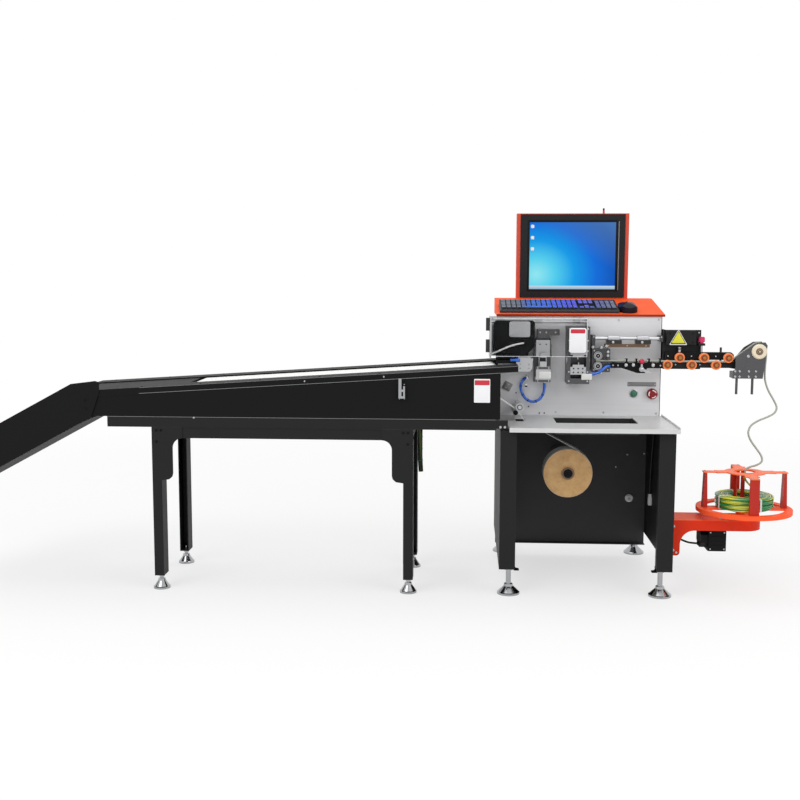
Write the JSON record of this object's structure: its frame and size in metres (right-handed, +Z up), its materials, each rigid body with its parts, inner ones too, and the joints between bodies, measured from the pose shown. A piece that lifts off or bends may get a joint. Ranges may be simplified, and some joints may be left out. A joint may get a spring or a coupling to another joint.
{
  "type": "wire cutting and stripping machine",
  "caption": "Benchtop-height cable cutter on a cabinet, with screen, clear cover, roller straightener, driven wire reel and a sloping outlet conveyor with chute.",
  "frame": {"origin": "on the floor under the middle of the whole machine's outline", "axes": "+X along the wire from the outlet chute to the reel, +Y from the operator's side to the back, +Z up"},
  "size_m": [3.001, 0.734, 1.3733],
  "materials": {
    "black_sheet": "satin powder coat",
    "orange_sheet": "satin powder coat",
    "red_sheet": "satin powder coat",
    "tray_metal": "grey satin paint",
    "plate_metal": "brushed",
    "steel": "machined",
    "dark_steel": "blackened",
    "chromed": "polished",
    "black_plastic": "fine grain",
    "key_plastic": "matte",
    "screen": "lit display",
    "clear_sheet": "clear",
    "green_plastic": "glossy",
    "red_plastic": "glossy",
    "blue_hose": "glossy",
    "roller_plastic": "glossy",
    "cream_plastic": "matte",
    "pink_plastic": "glossy",
    "wire_sleeve": "smooth",
    "cardboard": "matte",
    "white_tape": "matte",
    "belt_rubber": "matte",
    "brown_metal": "satin"
  },
  "bodies": {
    "machine": {"cabinet_left_side": "black_sheet", "cabinet_right_side": "black_sheet", "cabinet_back": "black_sheet", "levelling_feet": "chromed", "work_tray": "tray_metal", "head_housing": "black_sheet", "front_plate": "plate_metal", "deck_lid": "orange_sheet", "monitor_housing": "orange_sheet", "monitor_bezel": "black_plastic", "screen_panel": "screen", "keyboard": "key_plastic", "mouse_body": "black_plastic", "cover_frame": "steel", "outlet_carriage": "black_sheet", "press_frame": "dark_steel", "outlet_clamp": "steel", "hoses_and_cables": "blue_hose", "cutter_column": "dark_steel", "inlet_block": "dark_steel", "inlet_bar": "dark_steel", "straightener_frame": "black_sheet", "pulley_bracket": "dark_steel", "reel_arm": "orange_sheet", "reel_motor": "black_sheet", "feed_wire": "wire_sleeve", "paper_tape": "white_tape", "bench_top": "black_sheet", "bench_legs": "black_sheet", "conveyor_trough": "black_sheet", "conveyor_belt": "belt_rubber", "outlet_chute": "black_sheet"},
    "cover": {"safety_cover": "clear_sheet"},
    "start_button": {"start_button": "green_plastic"},
    "stop_button": {"stop_button": "red_plastic"},
    "space_bar": {"space_bar": "key_plastic"},
    "mouse_buttons": {"mouse_buttons": "black_plastic"},
    "press_block": {"press_block": "steel"},
    "upper_blade": {"upper_blade_holder": "steel"},
    "lower_blade": {"lower_blade_holder": "steel"},
    "upper_wheel": {"upper_feed_wheel": "steel"},
    "lower_wheel": {"lower_feed_wheel": "steel"},
    "lever": {"inlet_lever": "red_plastic"},
    "slider": {"rod_slider": "brown_metal"},
    "upper_bar": {"straightener_upper_bar": "black_sheet"},
    "roller_1": {"straightener_roller_1": "roller_plastic"},
    "roller_2": {"straightener_roller_2": "roller_plastic"},
    "roller_3": {"straightener_roller_3": "roller_plastic"},
    "roller_4": {"straightener_roller_4": "roller_plastic"},
    "roller_5": {"straightener_roller_5": "roller_plastic"},
    "roller_6": {"straightener_roller_6": "roller_plastic"},
    "screw": {"straightener_screw": "pink_plastic"},
    "pulley": {"guide_pulley": "cream_plastic"},
    "reel": {"turntable": "orange_sheet", "reel_cage": "red_sheet", "wire_coil": "wire_sleeve"},
    "tape_roll": {"tape_roll": "cardboard"},
    "tape_roller": {"tape_roller": "steel"},
    "drum": {"drive_drum": "steel"},
    "latch": {"latch_lever": "chromed"}
  },
  "joints": [
    {"name": "cover_hinge", "type": "hinge", "parent": "machine", "child": "cover", "pos_m": [0.6195, -0.027, 0.948], "axis": [-1, 0, 0], "range_deg": [0, 90]},
    {"name": "start_press", "type": "slide", "parent": "machine", "child": "start_button", "axis": [0, 1, 0], "range_m": [0, 0.003], "stiffness_N_per_m": 500},
    {"name": "stop_press", "type": "slide", "parent": "machine", "child": "stop_button", "axis": [0, 1, 0], "range_m": [0, 0.004], "stiffness_N_per_m": 900},
    {"name": "space_press", "type": "slide", "parent": "machine", "child": "space_bar", "axis": [0, -0.1654, 0.9862], "range_m": [-0.0035, 0], "stiffness_N_per_m": 180},
    {"name": "mouse_press", "type": "hinge", "parent": "machine", "child": "mouse_buttons", "pos_m": [0.9495, 0.07184, 1.00387], "axis": [-1, 0, 0], "range_deg": [0, 1.4], "stiffness_Nm_per_rad": 1},
    {"name": "press_slide", "type": "slide", "parent": "machine", "child": "press_block", "axis": [0, 0, 1], "range_m": [-0.0072, 0]},
    {"name": "upper_blade_slide", "type": "slide", "parent": "machine", "child": "upper_blade", "axis": [0, 0, 1], "range_m": [-0.007, 0]},
    {"name": "lower_blade_slide", "type": "slide", "parent": "machine", "child": "lower_blade", "axis": [0, 0, 1], "range_m": [0, 0.007]},
    {"name": "upper_wheel_spin", "type": "hinge", "parent": "machine", "child": "upper_wheel", "pos_m": [0.8275, -0.065, 0.8288], "axis": [0, 1, 0], "continuous": true},
    {"name": "lower_wheel_spin", "type": "hinge", "parent": "machine", "child": "lower_wheel", "pos_m": [0.8275, -0.065, 0.7912], "axis": [0, 1, 0], "continuous": true},
    {"name": "lever_turn", "type": "hinge", "parent": "machine", "child": "lever", "pos_m": [0.9825, -0.087, 0.782], "axis": [0, 1, 0], "range_deg": [0, 60]},
    {"name": "slider_slide", "type": "slide", "parent": "machine", "child": "slider", "axis": [1, 0, 0], "range_m": [-0.028, 0.028]},
    {"name": "screw_turn", "type": "hinge", "parent": "machine", "child": "screw", "pos_m": [1.2035, -0.044, 0.89], "axis": [0, 0, 1], "range_deg": [0, 1440]},
    {"name": "upper_bar_slide", "type": "slide", "parent": "machine", "child": "upper_bar", "axis": [0, 0, 1], "range_m": [0, 0.006]},
    {"name": "roller_1_spin", "type": "hinge", "parent": "machine", "child": "roller_1", "pos_m": [1.0785, -0.065, 0.797], "axis": [0, 1, 0], "continuous": true},
    {"name": "roller_2_spin", "type": "hinge", "parent": "machine", "child": "roller_2", "pos_m": [1.1655, -0.065, 0.797], "axis": [0, 1, 0], "continuous": true},
    {"name": "roller_3_spin", "type": "hinge", "parent": "machine", "child": "roller_3", "pos_m": [1.2525, -0.065, 0.797], "axis": [0, 1, 0], "continuous": true},
    {"name": "roller_4_spin", "type": "hinge", "parent": "upper_bar", "child": "roller_4", "pos_m": [1.122, -0.065, 0.823], "axis": [0, 1, 0], "continuous": true},
    {"name": "roller_5_spin", "type": "hinge", "parent": "upper_bar", "child": "roller_5", "pos_m": [1.209, -0.065, 0.823], "axis": [0, 1, 0], "continuous": true},
    {"name": "roller_6_spin", "type": "hinge", "parent": "upper_bar", "child": "roller_6", "pos_m": [1.296, -0.065, 0.823], "axis": [0, 1, 0], "continuous": true},
    {"name": "pulley_spin", "type": "hinge", "parent": "machine", "child": "pulley", "pos_m": [1.3995, -0.065, 0.848], "axis": [0, 1, 0], "continuous": true},
    {"name": "reel_spin", "type": "hinge", "parent": "machine", "child": "reel", "pos_m": [1.3355, -0.202, 0.3], "axis": [0, 0, 1], "continuous": true},
    {"name": "tape_roll_spin", "type": "hinge", "parent": "machine", "child": "tape_roll", "pos_m": [0.7175, -0.132, 0.412], "axis": [0, 1, 0], "continuous": true},
    {"name": "tape_roller_spin", "type": "hinge", "parent": "machine", "child": "tape_roller", "pos_m": [0.5425, -0.132, 0.6485], "axis": [0, 1, 0], "continuous": true},
    {"name": "drum_spin", "type": "hinge", "parent": "machine", "child": "drum", "pos_m": [-0.61865, -0.127, 0.70723], "axis": [0, 1, 0], "continuous": true},
    {"name": "latch_turn", "type": "hinge", "parent": "machine", "child": "latch", "pos_m": [0.1285, -0.338, 0.7], "axis": [1, 0, 0], "range_deg": [0, 150]}
  ],
  "couplings": [
    {"joint": "lower_blade_slide", "follows": "upper_blade_slide", "ratio": -1},
    {"joint": "lower_wheel_spin", "follows": "upper_wheel_spin", "ratio": -1},
    {"joint": "screw_turn", "follows": "upper_bar_slide", "rad_per_m": 4188.8}
  ]
}
